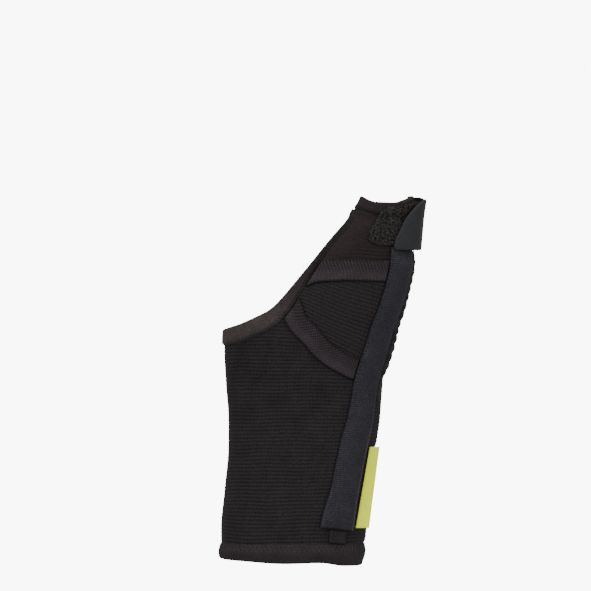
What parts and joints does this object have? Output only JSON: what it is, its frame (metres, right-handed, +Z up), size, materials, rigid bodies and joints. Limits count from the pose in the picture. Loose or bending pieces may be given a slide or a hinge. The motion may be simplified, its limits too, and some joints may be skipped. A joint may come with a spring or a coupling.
{
  "type": "thumb spica splint",
  "caption": "Pull-on knitted wrist and thumb support for a right hand, with a stay channel down the thumb side, elastic tapes over the ball of the thumb and a thumb strap.",
  "frame": {"origin": "middle of the forearm opening, level with its lowest edge", "axes": "+Z up the forearm towards the hand, -Y towards the palm side, +X towards the thumb"},
  "size_m": [0.1117, 0.0614, 0.1993],
  "materials": {
    "ribbed_knit": "black elastic knit with fine crosswise ribs",
    "gusset_knit": "black elastic knit with slanting ribs",
    "smooth_knit": "black smooth matt knit",
    "elastic_tape": "black herringbone elastic tape",
    "hem_knit": "black turned knit with zigzag stitching",
    "binding": "black folded edge knit",
    "channel_webbing": "blue-black grosgrain webbing",
    "seam_thread": "black overlock thread",
    "strap_webbing": "black strap webbing",
    "tab_laminate": "dark grey matt tab with a fine grain",
    "loop_pile": "black looped pile",
    "label_satin": "lime woven satin ribbon, left blank"
  },
  "bodies": {
    "root": {"sleeve_body": "ribbed_knit", "thenar_gusset": "gusset_knit", "thumb_panel": "smooth_knit", "lower_band": "elastic_tape", "upper_band": "elastic_tape", "forearm_hem": "hem_knit", "thumb_hem": "binding", "palm_binding": "binding", "stay_channel": "channel_webbing", "channel_tail": "elastic_tape", "side_seam": "seam_thread", "thumb_strap": "strap_webbing", "strap_tab": "tab_laminate", "loop_patch": "loop_pile", "label_tab": "label_satin"}
  },
  "joints": []
}
